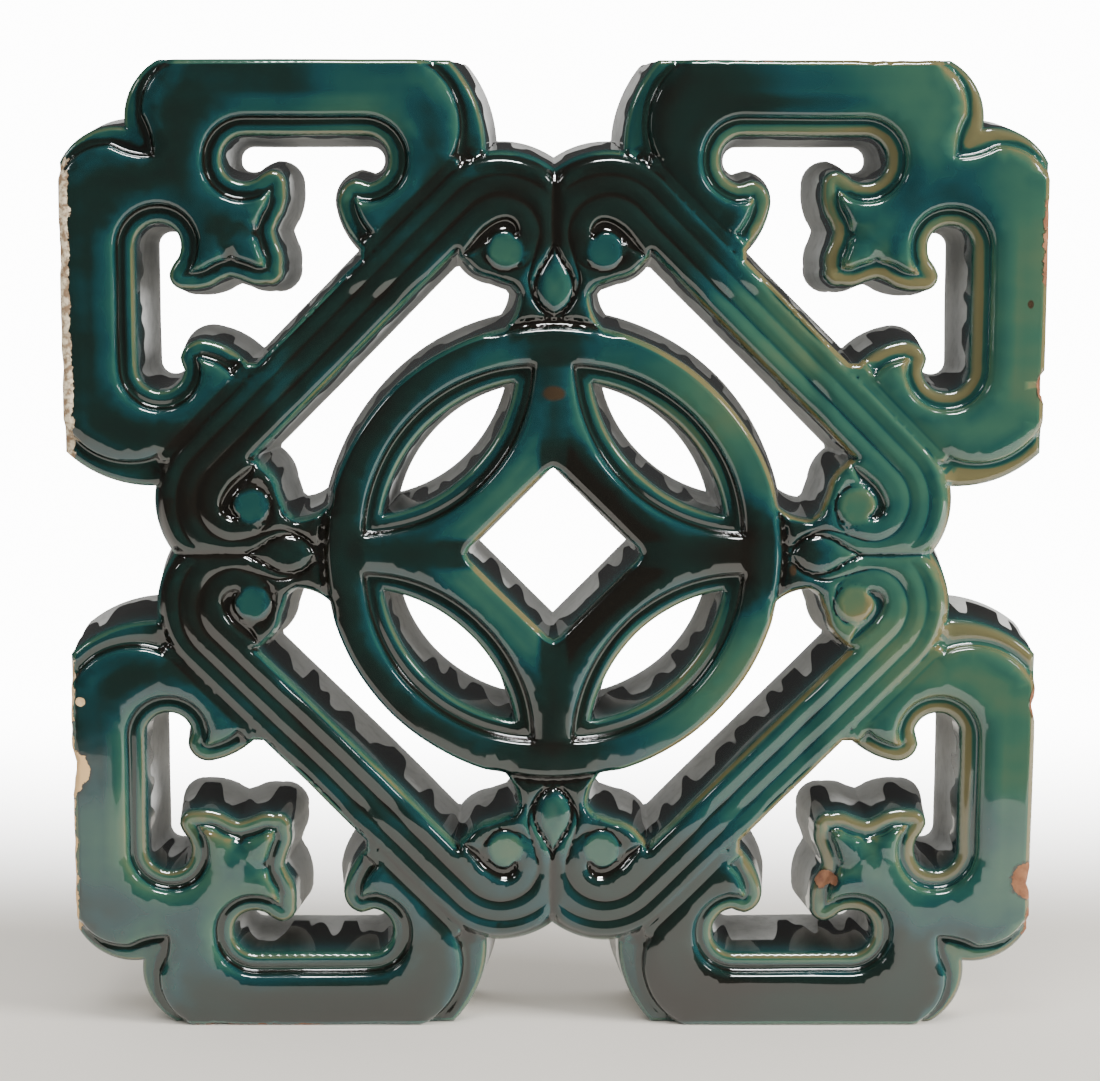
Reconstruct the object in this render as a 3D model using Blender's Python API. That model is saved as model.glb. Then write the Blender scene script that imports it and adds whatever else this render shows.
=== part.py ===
# Openwork ceramic screen tile with a coin-and-scroll pattern, fired in one piece.
# The pattern is drawn flat, x to the right and y up from the tile's centre,
# with the back at z = 0, and the finished tile is then stood on its lower edge.

from math import acos, atan2, ceil, cos, hypot, pi, radians, sin, sqrt

import bmesh
import bpy
from mathutils import Matrix

# Overall sizes
TILE_SIZE = 0.300
TILE_DEPTH = 0.040
RELIEF_HEIGHT = 0.004
BEVEL_DROP = 0.0012

# The pattern is drawn in modules, 300 to the tile's side, so that it grows and shrinks with the tile
MODULE = TILE_SIZE / 300
LEDGE_WIDTH = 4.9 * MODULE
WALL_DRAFT = 3.2 * MODULE
EDGE_ROUND = 1.2 * MODULE

# Corner brackets: arms, notch and the slot inside each arm
ARM_GAP = 42.0 * MODULE
ARM_END_WIDTH = 10.5 * MODULE
NOTCH_DEPTH = 20.2 * MODULE
SHOULDER_WIDTH = 10.4 * MODULE
RIM_WIDTH = 22.4 * MODULE
PLATE_GAP = 1.0 * MODULE
PLATE_SETBACK = 8.0 * MODULE
PLATE_EDGE = 0.6 * MODULE
SLOT_WIDTH = 14.4 * MODULE
SLOT_LENGTH = 50.8 * MODULE
FLOWER_TO_BAR = 12.6 * MODULE
FLOWER_TO_SLOT_END = 17.6 * MODULE
LOBE_RISE = 4.0 * MODULE
HOOK_REACH = 15.2 * MODULE
POCKET_DEPTH = 3.0 * MODULE
ARM_END_BULGE = 3.0 * MODULE
SHOULDER_BULGE = 3.6 * MODULE

# Ring, petals and central diamond
RING_RADIUS = 71.0 * MODULE
RING_BAND = 16.8 * MODULE
PETAL_SPREAD = radians(32.6)
PETAL_WIDTH = 19.0 * MODULE
TIP_GROWTH = 1.4
DIAMOND_WIDTH = 39.4 * MODULE
DIAMOND_CUT = 2.0 * MODULE
DIAMOND_SLOPE_WIDTH = 8.5 * MODULE
RING_SLOPE_WIDTH = 9.0 * MODULE
RING_SLOPE_DROP = 0.0026
RIM_LEDGE = 0.8 * MODULE
PETAL_LEDGE = 4.0 * MODULE
DIAMOND_LIP = 0.5 * MODULE

# Diagonal bars and the scrolls that they roll into
RING_TO_BAR = 15.3 * MODULE
BAR_WIDTH = 19.0 * MODULE
SCROLL_RADIUS = 25.4 * MODULE
SCROLL_OFFSET = 16.5 * MODULE
EYE_RADIUS = 4.6 * MODULE
EYE_HEIGHT = 0.0037
SCROLL_MARGIN = 1.2 * MODULE
NECK_WIDTH = 22.0 * MODULE
NECK_FLARE = 4.0 * MODULE
SHOULDER_CUT = 2.2 * MODULE
BUD_LENGTH = 27.0 * MODULE
BUD_WIDTH = 11.8 * MODULE
BUD_HEIGHT = 0.0030
VALLEY_WIDTH = 1.2 * MODULE
LIP_WIDTH = 4.0 * MODULE
LIP_HEIGHT = 0.0020
TAIL_WIDTH = 2.1 * MODULE

# Reeds along the bars, outer to inner: places across the bar from its outer edge, widths and heights
REED_PLACES = (3.4 * MODULE, 8.9 * MODULE, 15.1 * MODULE)
REED_WIDTHS = (6.6 * MODULE, 5.0 * MODULE, 6.8 * MODULE)
REED_HEIGHTS = (0.0034, 0.0039, 0.0036)

# How finely arcs are drawn, how deep ridges are set into the body and what counts as one point
ARC_STEP = radians(30)
EYE_STEP = radians(36)
SINK = 0.0015
MERGE = 0.00001

DIAGONAL = sqrt(0.5)
HALF = TILE_SIZE / 2
LEDGE_LEVEL = TILE_DEPTH - RELIEF_HEIGHT
BAR_INNER = RING_RADIUS + RING_TO_BAR
BAR_OUTER = BAR_INNER + BAR_WIDTH
SCROLL_X = SCROLL_OFFSET
SCROLL_Y = (BAR_OUTER - SCROLL_RADIUS) / DIAGONAL - SCROLL_X


# Plane paths

def arc_points(start, end, rise, step=ARC_STEP):
    """Points after start along an arc whose middle stands rise to the left of its chord."""
    across = (end[0] - start[0], end[1] - start[1])
    chord = hypot(*across)
    if abs(rise) < 1e-7:
        return [end]
    side = 1 if rise > 0 else -1
    radius = (chord * chord / 4 + rise * rise) / (2 * abs(rise))
    half_turn = 2 * atan2(2 * abs(rise), chord)
    count = max(2, ceil(2 * half_turn / step))
    reach = side * (radius - abs(rise)) / chord
    centre = ((start[0] + end[0]) / 2 + across[1] * reach, (start[1] + end[1]) / 2 - across[0] * reach)
    first = atan2(start[1] - centre[1], start[0] - centre[0])
    points = []
    for i in range(1, count):
        angle = first - side * 2 * half_turn * i / count
        points.append((centre[0] + radius * cos(angle), centre[1] + radius * sin(angle)))
    return points + [end]


def trace(start, *knots):
    """A path from start through (x, y, rise) knots, each reached along an arc."""
    points = [start]
    for x, y, rise in knots:
        points += arc_points(points[-1], (x, y), rise)
    return points


def circle_path(centre, radius, first, last, step=ARC_STEP):
    count = max(1, ceil(abs(last - first) / step - 1e-6))
    angles = [first + (last - first) * i / count for i in range(count + 1)]
    return [(centre[0] + radius * cos(a), centre[1] + radius * sin(a)) for a in angles]


def mirrored(points):
    """The same path on the other side of the diagonal, run backwards."""
    return [(y, x) for x, y in reversed(points)]


def turned(points, quarter):
    """The path turned by quarters of a turn about the tile's centre."""
    c = (1, 0, -1, 0)[quarter % 4]
    s = (0, 1, 0, -1)[quarter % 4]
    return [(x * c - y * s, x * s + y * c) for x, y in points]


def distance_to(outline, x, y):
    best = TILE_SIZE
    for i, (x1, y1) in enumerate(outline):
        x0, y0 = outline[i - 1]
        dx, dy = x1 - x0, y1 - y0
        length = dx * dx + dy * dy
        share = max(0.0, min(1.0, ((x - x0) * dx + (y - y0) * dy) / length)) if length else 0.0
        best = min(best, hypot(x - x0 - share * dx, y - y0 - share * dy))
    return best


def left_normals(outline):
    """Mitred normals to the left of a closed outline, one for each of its points."""
    normals = []
    for i, (x, y) in enumerate(outline):
        x0, y0 = outline[i - 1]
        x1, y1 = outline[(i + 1) % len(outline)]
        before = hypot(x - x0, y - y0)
        after = hypot(x1 - x, y1 - y)
        nx = -(y - y0) / before - (y1 - y) / after
        ny = (x - x0) / before + (x1 - x) / after
        scale = 2 / max(nx * nx + ny * ny, 0.5)
        normals.append((nx * scale, ny * scale))
    return normals


def offset_outline(outline, distance):
    """A closed outline moved to its left, without the loops that tight bends would make."""
    moved = []
    for (x, y), (nx, ny) in zip(outline, left_normals(outline)):
        place = (x + nx * distance, y + ny * distance)
        spaced = not moved or hypot(place[0] - moved[-1][0], place[1] - moved[-1][1]) > EDGE_ROUND * 1.2
        if spaced and distance_to(outline, *place) > distance * 0.999:
            moved.append(place)
    return moved


# Outlines of the front edges

def knots_from(origin, size, shares):
    """Knots for trace, from (x, y, rise) shares of a size laid off from an origin."""
    return [(origin[0] + x * size, origin[1] + y * size, rise * size) for x, y, rise in shares]


def corner_opening():
    """The opening between a bar, its corner's hooks, slots and the three-lobed flower."""
    edge = 2 * BAR_OUTER * DIAGONAL
    flower = (BAR_OUTER + FLOWER_TO_BAR) * DIAGONAL
    right = flower + FLOWER_TO_SLOT_END
    left = right - SLOT_LENGTH
    top = HALF - RIM_WIDTH
    low = top - SLOT_WIDTH
    end = SLOT_WIDTH / 2
    pocket = left + HOOK_REACH * 0.55
    hook = (
        (1.0, -0.50, -0.07),
        (0.66, 0.07, -0.15),
        (0.41, -0.01, -0.007),
    )
    slot_end = (
        (-0.32, 0.05, 0.10),
        (-0.74, 0.10, 0.04),
    )
    lobes = (
        (0.074, 1.0, -0.009),
        (-0.062, 0.853, -0.047),
        (-0.021, 0.592, -0.018),
        (0.047, 0.453, 0.006),
        (-0.018, 0.266, 0.006),
        (-0.024, 0.124, -0.009),
        (0.006, 0.006, -0.018),
    )
    half = trace(
        (edge / 2, edge / 2),
        (pocket, edge - pocket, 0),
        (pocket, edge - pocket + POCKET_DEPTH, 0),
        *knots_from((left, low), HOOK_REACH, hook),
        (left, top - end, end * 0.26),
        (left + end, top, end * 0.3),
        (right - end, top, 0),
        (right, top - end, end * 0.3),
        *knots_from((right, low), SLOT_WIDTH, slot_end),
        *knots_from((flower, flower), low + LOBE_RISE - flower, lobes),
    )
    return half + mirrored(half)[1:-1]


def bar_opening():
    """The opening between the ring, a bar and the scrolls at the bar's two ends."""
    edge = 2 * BAR_INNER * DIAGONAL
    neck = NECK_WIDTH / 2
    foot_x = neck + NECK_FLARE
    foot = (foot_x, sqrt(RING_RADIUS ** 2 - foot_x ** 2))
    tip_x = SCROLL_X + SCROLL_RADIUS * 0.516
    coil = (
        (0.429, -0.285, 0.012),
        (0.118, -0.468, 0.040),
    )
    half = trace(
        (edge / 2, edge / 2),
        (tip_x, edge - tip_x, 0),
        *knots_from((SCROLL_X, SCROLL_Y), SCROLL_RADIUS, coil),
        (neck + SHOULDER_CUT, SCROLL_Y - SCROLL_RADIUS * 0.555, 0),
        (neck, SCROLL_Y - SCROLL_RADIUS * 0.555 - SHOULDER_CUT * 1.3, 0),
        (*foot, -NECK_FLARE / 4),
    )
    arc = circle_path((0, 0), RING_RADIUS, atan2(foot[1], foot[0]), pi / 4, ARC_STEP / 3)
    half += arc[1:]
    return half + mirrored(half)[1:-1]


def petal_opening(growth=0.0):
    """A pointed petal of the coin pattern, with its long axis across the diagonal."""
    tip_radius = RING_RADIUS - RING_BAND
    centre = tip_radius * cos(PETAL_SPREAD)
    reach = tip_radius * sin(PETAL_SPREAD) + growth * TIP_GROWTH
    first = ((centre + reach) * DIAGONAL, (centre - reach) * DIAGONAL)
    last = (first[1], first[0])
    rise = -(PETAL_WIDTH / 2 + growth)
    return [first] + arc_points(first, last, rise, ARC_STEP / 2) + arc_points(last, first, rise, ARC_STEP / 2)[:-1]


def diamond_opening(growth=0.0):
    """The square opening on its corner, with small round corners, in the tile's middle."""
    apex = (DIAMOND_WIDTH / 2 + growth) / DIAGONAL
    corner = [(DIAMOND_CUT, apex - DIAMOND_CUT), (0.0, apex - DIAMOND_CUT / 2), (-DIAMOND_CUT, apex - DIAMOND_CUT)]
    return [place for quarter in range(4) for place in turned(corner, quarter)]


def arm_outline():
    """Half of a bracket's outer edge, from its arm's end to the corner notch."""
    start = ARM_GAP / 2
    meet = SCROLL_Y + sqrt((SCROLL_RADIUS + SCROLL_MARGIN) ** 2 - (start - SCROLL_X) ** 2)
    notch = HALF - NOTCH_DEPTH
    return trace(
        (start, meet),
        (start + ARM_END_WIDTH, HALF, ARM_END_BULGE),
        (notch - SHOULDER_WIDTH, HALF, 0),
        (notch, notch, SHOULDER_BULGE),
    )


def tile_outline():
    """The whole outer outline, anticlockwise, from eight copies of one stretch."""
    arm = arm_outline()
    centre = (SCROLL_X, SCROLL_Y)
    radius = hypot(arm[0][0] - centre[0], arm[0][1] - centre[1])
    cusp = (0.0, centre[1] + sqrt(radius ** 2 - centre[0] ** 2))
    first = atan2(cusp[1] - centre[1], cusp[0] - centre[0])
    last = atan2(arm[0][1] - centre[1], arm[0][0] - centre[0])
    eighth = circle_path(centre, radius, first, last, ARC_STEP / 2) + arm[1:]
    quarter = eighth + mirrored(eighth)[1:-1]
    outline = [place for k in range(4) for place in turned(quarter, -k)]
    return outline[::-1]


def plate_outline():
    """The raised face of a bracket: around its arms, then back along the bar and the opening's ledge."""
    line = (BAR_OUTER + PLATE_GAP) / DIAGONAL
    start = ARM_GAP / 2 + PLATE_SETBACK
    side = HALF - PLATE_EDGE
    notch = HALF - NOTCH_DEPTH
    foot = start + ARM_END_WIDTH * 0.2
    apex = notch - LEDGE_WIDTH * 1.6
    outer = trace(
        (foot, line - foot),
        (start - ARM_END_WIDTH * 0.1, side - ARM_END_WIDTH * 1.9, ARM_END_BULGE / 4),
        (start + ARM_END_WIDTH, side, ARM_END_BULGE),
        (notch - SHOULDER_WIDTH * 1.25, side, 0),
        (notch - LEDGE_WIDTH, notch + SHOULDER_WIDTH * 0.35, SHOULDER_BULGE * 0.7),
        (apex, apex, -SHOULDER_BULGE / 4),
    )
    outer += mirrored(outer)[1:]
    inner = beyond_line(offset_outline(corner_opening(), LEDGE_WIDTH), line)
    half = [place for place in inner if place[0] < place[1]]
    return half + mirrored(half) + outer[::-1]


def beyond_line(points, line):
    """The stretch of a path where x + y is over line, with its two crossings."""
    kept = []
    for (x0, y0), (x1, y1) in zip(points, points[1:]):
        first, last = x0 + y0 - line, x1 + y1 - line
        if first * last < 0:
            share = first / (first - last)
            kept.append((x0 + (x1 - x0) * share, y0 + (y1 - y0) * share))
        if last > 0:
            kept.append((x1, y1))
    return kept


def scroll_point(radius, angle):
    return (SCROLL_X + radius * cos(angle), SCROLL_Y + radius * sin(angle))


def both_ends(half):
    """A bar's path from the half that runs from the bar to one scroll, as (x, y, width) places."""
    return [(y, x, width) for x, y, width in half[::-1]] + half


def outer_reed():
    """The reed on the bar's outer edge, which stops short of the next scroll's reed."""
    radius = SCROLL_RADIUS - REED_PLACES[0]
    last = pi - acos((SCROLL_X - VALLEY_WIDTH / 2) / (radius + REED_WIDTHS[0] / 2))
    places = circle_path((SCROLL_X, SCROLL_Y), radius, pi / 4, last)
    return both_ends([(*place, REED_WIDTHS[0]) for place in places])


def middle_reed():
    """The crown of the bar, which narrows down the coil's outer side to the neck."""
    radius = SCROLL_RADIUS - REED_PLACES[1]
    places = []
    for i in range(6):
        turn = i / 5
        shrink = max(0.0, turn - 0.4) / 0.6
        place = scroll_point(radius * (1 - 0.13 * shrink), pi / 4 + turn * pi * 0.75)
        places.append((*place, REED_WIDTHS[1] + (TAIL_WIDTH - REED_WIDTHS[1]) * shrink))
    tail = ((0.177, 0.236), (0.268, 0.472), (0.165, 0.764))
    places += [(x * SCROLL_RADIUS, SCROLL_Y - drop * SCROLL_RADIUS, TAIL_WIDTH) for x, drop in tail]
    return both_ends(places)


def inner_reed():
    """The reed that winds round the coil and narrows to its eye."""
    radius = SCROLL_RADIUS - REED_PLACES[2]
    places = []
    for i in range(9):
        turn = i / 8
        place = scroll_point(radius * (1 - 0.46 * turn ** 2.6), pi / 4 + turn * pi * 1.5)
        places.append((*place, REED_WIDTHS[2] * (1 - 0.59 * turn)))
    return both_ends(places)


def lip():
    """The low roll under a scroll, along the opening beside the bar."""
    shares = ((-0.217, -0.492, 0.75), (0.059, -0.413, 1.0), (0.295, -0.276, 1.0), (0.413, -0.177, 0.65))
    return [
        (SCROLL_X + x * SCROLL_RADIUS, SCROLL_Y + y * SCROLL_RADIUS, LIP_WIDTH * width)
        for x, y, width in shares
    ]


def ribbon(places, share):
    """The closed outline, anticlockwise, of a path with widths, drawn at a share of its width."""
    left, right = [], []
    for i, (x, y, width) in enumerate(places):
        x0, y0, _ = places[max(i - 1, 0)]
        x1, y1, _ = places[min(i + 1, len(places) - 1)]
        length = hypot(x1 - x0, y1 - y0)
        nx, ny = -(y1 - y0) / length, (x1 - x0) / length
        reach = width / 2 * share
        left.append((x + nx * reach, y + ny * reach))
        right.append((x - nx * reach, y - ny * reach))
    return right + left[::-1]


def bud(share):
    """The teardrop on the axis between two scrolls, with its point away from the ring."""
    middle = SCROLL_Y - SCROLL_RADIUS * 0.374
    side = []
    for i in range(7):
        along = i / 6
        half_width = BUD_WIDTH / 2 * sin(pi * along ** 1.5)
        side.append((half_width * share, middle + BUD_LENGTH * (0.5 - along) * (0.4 + 0.6 * share)))
    return [(-x, y) for x, y in side] + side[-2:0:-1]


# Solids

def shifted(outline, distance, sides_stay=True):
    """An outline moved to its left point by point; what lies on a straight side can stay on it."""
    moved = []
    for (x, y), (nx, ny) in zip(outline, left_normals(outline)):
        on_side_x = sides_stay and abs(abs(x) - HALF) < 1e-6
        on_side_y = sides_stay and abs(abs(y) - HALF) < 1e-6
        moved.append((x if on_side_x else x + nx * distance, y if on_side_y else y + ny * distance))
    return moved


def filled(outlines, level):
    """A flat mesh between closed outlines, from a filled plane curve."""
    curve = bpy.data.curves.new("section", "CURVE")
    curve.dimensions = "2D"
    curve.fill_mode = "BOTH"
    for outline in outlines:
        spline = curve.splines.new("POLY")
        spline.points.add(len(outline) - 1)
        for point, (x, y) in zip(spline.points, outline):
            point.co = (x, y, 0, 1)
        spline.use_cyclic_u = True
    source = bpy.data.objects.new("section", curve)
    bpy.context.scene.collection.objects.link(source)
    bpy.context.view_layer.update()
    evaluated = source.evaluated_get(bpy.context.evaluated_depsgraph_get())
    mesh = bpy.data.meshes.new_from_object(evaluated)
    bpy.data.objects.remove(source)
    mesh.transform(Matrix.Translation((0, 0, level)))
    return mesh


def add_walls(work, lower, upper):
    """Quads between two sections, each a level and its outlines, point by point."""
    for below, above in zip(lower[1], upper[1]):
        rings = []
        for level, outline in ((lower[0], below), (upper[0], above)):
            rings.append([work.verts.new((x, y, level)) for x, y in outline])
        for i in range(len(below)):
            work.faces.new((rings[0][i - 1], rings[0][i], rings[1][i], rings[1][i - 1]))


def walled(name, stacks, caps):
    """One solid object from walls through stacks of sections and the flat caps that close them."""
    work = bmesh.new()
    for level, outlines in caps:
        work.from_mesh(filled(outlines, level))
    for sections in stacks:
        for lower, upper in zip(sections, sections[1:]):
            add_walls(work, lower, upper)
    bmesh.ops.remove_doubles(work, verts=work.verts, dist=MERGE)
    bmesh.ops.recalc_face_normals(work, faces=work.faces)
    mesh = bpy.data.meshes.new(name)
    work.to_mesh(mesh)
    work.free()
    item = bpy.data.objects.new(name, mesh)
    bpy.context.scene.collection.objects.link(item)
    return item


def lofted(name, stacks):
    """Solids that each go from their stack's first section up to its last."""
    return walled(name, stacks, [sections[end] for sections in stacks for end in (0, -1)])


def turned_stack(sections, quarter):
    return [(level, [turned(outline, quarter) for outline in outlines]) for level, outlines in sections]


def flipped_stack(sections):
    """The sections on the other side of the diagonal."""
    return [(level, [mirrored(outline) for outline in outlines]) for level, outlines in sections]


def body_sections():
    """The pierced body up to the ledges; its openings narrow to the back and its free edges spread."""
    openings = [diamond_opening()[::-1]]
    for quarter in range(4):
        shapes = (corner_opening(), bar_opening()[::-1], petal_opening()[::-1])
        openings += [turned(outline, quarter) for outline in shapes]
    front = [tile_outline()] + openings
    return [(0.0, [shifted(outline, -WALL_DRAFT) for outline in front]), (LEDGE_LEVEL, front)]


def bracket_sections():
    """The raised faces of the corner brackets, with worn upper edges."""
    outline = plate_outline()
    worn = shifted(outline, EDGE_ROUND, sides_stay=False)
    sections = [(LEDGE_LEVEL, [outline]), (TILE_DEPTH - BEVEL_DROP, [outline]), (TILE_DEPTH, [worn])]
    around = [turned_stack(sections, quarter) for quarter in range(4)]
    return [(rows[0][0], [row[1][0] for row in rows]) for rows in zip(*around)]


def ring_sections():
    """The raised coin: a band that falls to its rim, four petals and a sunk diamond."""
    sections = []
    for level, rim, petal_growth, diamond_growth in (
        (LEDGE_LEVEL, RIM_LEDGE, PETAL_LEDGE, DIAMOND_LIP),
        (TILE_DEPTH - RING_SLOPE_DROP, RIM_LEDGE * 1.5, PETAL_LEDGE * 1.05, DIAMOND_LIP * 1.2),
        (TILE_DEPTH, RING_SLOPE_WIDTH, LEDGE_WIDTH, DIAMOND_SLOPE_WIDTH),
    ):
        holes = [turned(petal_opening(petal_growth)[::-1], quarter) for quarter in range(4)]
        disc = circle_path((0, 0), RING_RADIUS - rim, 0, 2 * pi, ARC_STEP / 3)[:-1]
        sections.append((level, [disc, diamond_opening(diamond_growth)[::-1]] + holes))
    return sections


def stepped_body():
    """The body with its raised faces; the ledge between them is one flat cap."""
    stacks = [body_sections(), bracket_sections(), ring_sections()]
    body, brackets, ring = stacks
    ledge = (LEDGE_LEVEL, body[-1][1] + brackets[0][1] + ring[0][1])
    return walled("screen_tile", stacks, [body[0], ledge, brackets[-1], ring[-1]])


def raised(outline_at, height):
    """Sections of a rounded ridge; outline_at gives its outline at a share of its width."""
    return [
        (LEDGE_LEVEL - SINK, [outline_at(1.0)]),
        (LEDGE_LEVEL + height * 0.6, [outline_at(0.86)]),
        (LEDGE_LEVEL + height, [outline_at(0.36)]),
    ]


def ridges(name, places, height, quarters, both_sides=False):
    """A rounded ridge along a path, in some quarters and, if asked, on both sides of the diagonal."""
    sections = raised(lambda share: ribbon(places, share), height)
    stacks = [sections] + ([flipped_stack(sections)] if both_sides else [])
    return lofted(name, [turned_stack(stack, quarter) for quarter in quarters for stack in stacks])


def eyes():
    """The round bosses in the middle of the eight coils."""
    centre = (SCROLL_X - SCROLL_RADIUS * 0.04, SCROLL_Y - SCROLL_RADIUS * 0.05)
    sections = raised(lambda share: circle_path(centre, EYE_RADIUS * share, 0, 2 * pi, EYE_STEP)[:-1], EYE_HEIGHT)
    stacks = (sections, flipped_stack(sections))
    return lofted("eyes", [turned_stack(stack, quarter) for quarter in range(4) for stack in stacks])


def buds():
    sections = raised(bud, BUD_HEIGHT)
    return lofted("buds", [turned_stack(sections, quarter) for quarter in range(4)])


def combine(target, other, operation):
    """A Boolean applied to target; the other solid is used up."""
    modifier = target.modifiers.new("combine", "BOOLEAN")
    modifier.operation = operation
    modifier.solver = "EXACT"
    modifier.object = other
    bpy.context.view_layer.update()
    evaluated = target.evaluated_get(bpy.context.evaluated_depsgraph_get())
    mesh = bpy.data.meshes.new_from_object(evaluated)
    work = bmesh.new()
    work.from_mesh(mesh)
    bmesh.ops.remove_doubles(work, verts=work.verts, dist=MERGE)
    work.to_mesh(mesh)
    work.free()
    target.modifiers.clear()
    target.data = mesh
    bpy.data.objects.remove(other)


# Finish and placing

def glaze():
    material = bpy.data.materials.new("deep green glaze")
    material.use_nodes = True
    shader = material.node_tree.nodes["Principled BSDF"]
    shader.inputs["Base Color"].default_value = (0.016, 0.052, 0.042, 1.0)
    shader.inputs["Roughness"].default_value = 0.12
    shader.inputs["Metallic"].default_value = 0.0
    return material


def stand_up(tile):
    """Turn the front to -y and set the lower edge at z = 0, centred in x and y."""
    tile.data.transform(Matrix.Rotation(pi / 2, 4, "X"))
    tile.data.transform(Matrix.Translation((0, TILE_DEPTH / 2, HALF)))


def clear_scene():
    for item in list(bpy.data.objects):
        bpy.data.objects.remove(item)


def main():
    clear_scene()
    tile = stepped_body()
    pieces = [
        ridges("outer reeds", outer_reed(), REED_HEIGHTS[0], range(4)),
        ridges("middle reeds", middle_reed(), REED_HEIGHTS[1], range(4)),
        ridges("inner reeds", inner_reed(), REED_HEIGHTS[2], range(4)),
        ridges("lips", lip(), LIP_HEIGHT, range(4), both_sides=True),
        buds(),
        eyes(),
    ]
    for piece in pieces:
        combine(tile, piece, "UNION")
    stand_up(tile)
    tile.data.materials.clear()
    tile.data.materials.append(glaze())
    collection = bpy.data.collections.new("ceramic screen tile")
    bpy.context.scene.collection.children.link(collection)
    bpy.context.scene.collection.objects.unlink(tile)
    collection.objects.link(tile)


main()
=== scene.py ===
# Looks of the openwork ceramic screen tile: its glazed surface, the floor, the light and the camera.
# The pattern is worked out flat, in millimetres from the tile's centre, for the eighth of the tile
# between the upright axis and the diagonal. Eight copies of it make the front, and walls drop from
# every edge to the back.

from math import atan2, ceil, cos, hypot, pi, radians, sin, sqrt

import bpy
import numpy as np
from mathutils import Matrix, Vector, noise
from mathutils.geometry import delaunay_2d_cdt


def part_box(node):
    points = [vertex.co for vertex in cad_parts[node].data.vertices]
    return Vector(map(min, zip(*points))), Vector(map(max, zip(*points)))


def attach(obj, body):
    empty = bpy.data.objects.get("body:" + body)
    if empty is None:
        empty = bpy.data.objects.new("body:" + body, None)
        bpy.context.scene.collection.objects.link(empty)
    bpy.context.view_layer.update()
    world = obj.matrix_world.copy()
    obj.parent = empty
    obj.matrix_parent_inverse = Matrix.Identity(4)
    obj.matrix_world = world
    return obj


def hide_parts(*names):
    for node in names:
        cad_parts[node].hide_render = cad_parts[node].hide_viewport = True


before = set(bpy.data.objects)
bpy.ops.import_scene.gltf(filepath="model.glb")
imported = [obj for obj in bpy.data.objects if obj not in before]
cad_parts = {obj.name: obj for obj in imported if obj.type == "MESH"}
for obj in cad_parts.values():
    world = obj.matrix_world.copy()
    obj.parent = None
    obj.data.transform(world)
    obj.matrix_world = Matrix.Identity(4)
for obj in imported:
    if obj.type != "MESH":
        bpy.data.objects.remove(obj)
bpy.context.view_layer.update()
TILE_LOW, TILE_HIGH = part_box("screen_tile")

MM = 0.001
HALF = (TILE_HIGH.x - TILE_LOW.x) / MM / 2
DEPTH = (TILE_HIGH.y - TILE_LOW.y) / MM

# Levels above the back and the shape of edges
RELIEF = 4.0
LEDGE = DEPTH - RELIEF
LEDGE_WIDTH = 4.9
WALL_DRAFT = 3.2
EDGE_ROUND = 2.0
EDGE_DROP = 1.2
BACK_ROUND = 0.9
BEAD_HEIGHT = 0.5
BEAD_SLOPE = 2.6
STEP_WIDTH = 2.7
STEP_POWER = 2.4
LOBE_NOTCH = 9.0
LOBE_NOTCH_SPREAD = 0.30

# Corner brackets
ARM_GAP = 42.0
ARM_END_WIDTH = 10.5
ARM_END_BULGE = 3.0
NOTCH_DEPTH = 20.2
SHOULDER_WIDTH = 10.4
SHOULDER_BULGE = 3.6
RIM_WIDTH = 22.4
PLATE_GAP = 1.0
PLATE_SETBACK = 8.0
SEAM_HEIGHT = 3.1
SEAM_REACH = 3.4
SLOT_WIDTH = 14.4
SLOT_LENGTH = 50.8
FLOWER_TO_BAR = 12.6
FLOWER_TO_SLOT_END = 17.6
LOBE_RISE = 4.0
HOOK_REACH = 15.2
POCKET_DEPTH = 3.0

# Ring, petals and central diamond
RING_RADIUS = 71.0
RING_BAND = 16.8
RING_CROWN = 3.2
RING_DROP = 0.4
RING_PILLOW = 2.7
RING_SEAM = 0.2
PETAL_SPREAD = radians(32.6)
PETAL_WIDTH = 19.0
PETAL_TIP_GROWTH = 1.4
DIAMOND_WIDTH = 39.4
DIAMOND_CUT = 2.0
DIAMOND_SLOPE = 10.5
DIAMOND_DIP = 0.38

# Bars and scrolls
RING_TO_BAR = 15.3
BAR_WIDTH = 19.0
SCROLL_RADIUS = 25.4
SCROLL_X = 16.5
SCROLL_MARGIN = 1.2
NECK_WIDTH = 22.0
NECK_FLARE = 4.0
NECK_DROP = 1.2
SHOULDER_CUT = 2.2
GROOVE_PLACES = (6.3, 12.2)
BALL = (15.0, 93.0, 6.4)
BALL_RISE = 1.3
BALL_SINK = 0.5
REED_FOOT = 1.3
REED_RISE = 2.6
REED_ROUND = 3.2
BUD_FOOT = 1.8
BUD_RISE = 1.9
BUD_ROUND = (3.4, 2.2)
HOLLOW_LEVEL = 2.0

# Grooves, as (width, depth) and the power of their slopes where it isn't the usual one
OUTER_GROOVE = (3.1, 0.60, 1.25)
INNER_GROOVE = (3.0, 0.75, 1.25)
TAIL_GROOVE = (1.8, 1.1)
AXIS_VALLEY = (5.0, 1.5, 2.0)
BUD_VALLEY = (1.6, 1.3)
NECK_VALLEY = (2.8, 0.90, 1.7)

# Spacing of the mesh
ROUND_SPACING = 1.25
STRAIGHT_SPACING = 2.6
AXIS_SPACING = 0.8
FILL_SPACING = 3.0
BACK_SPACING = 6.0
THINNEST = 0.46
WELD = 0.002
OPEN_AIR = 30.0
FAR_OFF = 99.0

ROWS_BY_STEP = (3.3, 4.1, 4.8, 5.3, 5.8, 6.4, 7.2)
WALL_LEVELS = (33, 29, 24, 18, 12, 6, 0.9, 0.3, 0)
EDGE_BEND = -1.5

# How hollow the front is around each vertex: how far off it is looked at, and whether air counts
HOLLOWS = {"close": (1.1, True), "wide": (3.4, False), "broad": (7.0, False)}

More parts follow.
